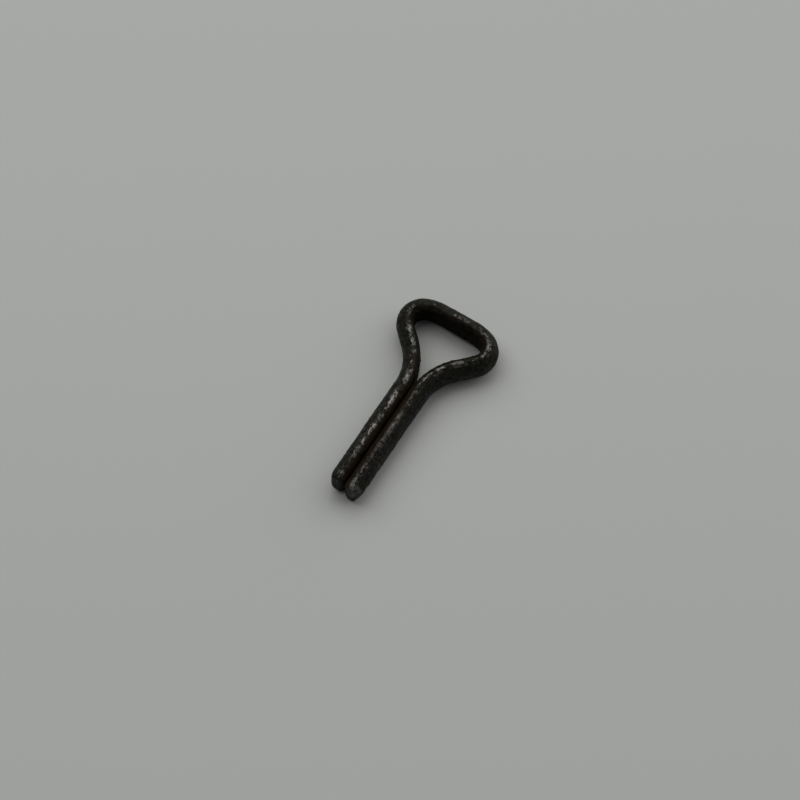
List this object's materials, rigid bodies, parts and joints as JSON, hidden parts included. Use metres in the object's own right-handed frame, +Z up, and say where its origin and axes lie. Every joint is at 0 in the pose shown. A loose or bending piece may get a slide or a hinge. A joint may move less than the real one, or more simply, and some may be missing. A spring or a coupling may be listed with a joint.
{
  "type": "cotter pin",
  "caption": "Split pin of half-round blackened steel wire bent double, with close-set legs, bevelled points and a flat-topped triangular eye.",
  "frame": {"origin": "middle of the footprint, on the surface the pin lies on", "axes": "+X across the two legs, +Y from the points to the eye along the shank, +Z up off the surface"},
  "size_m": [0.009, 0.0184, 0.0028],
  "materials": {
    "blackened_steel": "satin"
  },
  "bodies": {
    "root": {"cotter_pin": "blackened_steel"}
  },
  "joints": []
}
